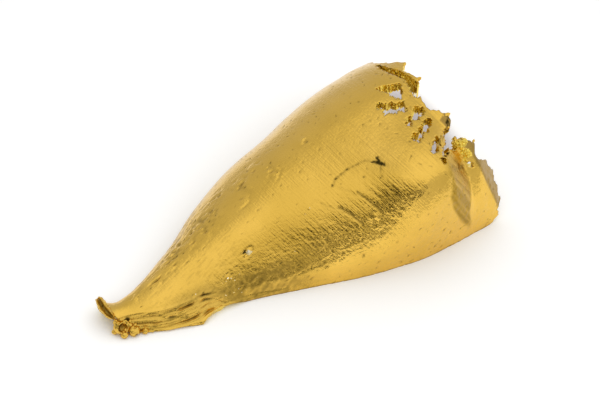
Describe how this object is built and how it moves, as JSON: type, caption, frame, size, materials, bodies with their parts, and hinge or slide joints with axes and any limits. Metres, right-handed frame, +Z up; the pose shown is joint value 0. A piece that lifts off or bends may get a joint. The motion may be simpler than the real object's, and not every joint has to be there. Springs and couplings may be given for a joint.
{
  "type": "gold crystal",
  "caption": "Thin curled leaf of crystallised native gold, shaped like a half horn open underneath, with a knobbly tail and a torn, spiky, pierced mouth.",
  "frame": {"origin": "middle of the box around the leaf, on the surface it rests on", "axes": "+X from the tail to the torn mouth, -Y towards the near long edge, +Z up"},
  "size_m": [0.028, 0.016, 0.0085],
  "materials": {
    "gold": "satin native gold, with bright crystal faces on the torn edges"
  },
  "bodies": {
    "root": {"gold_leaf": "gold"}
  },
  "joints": []
}
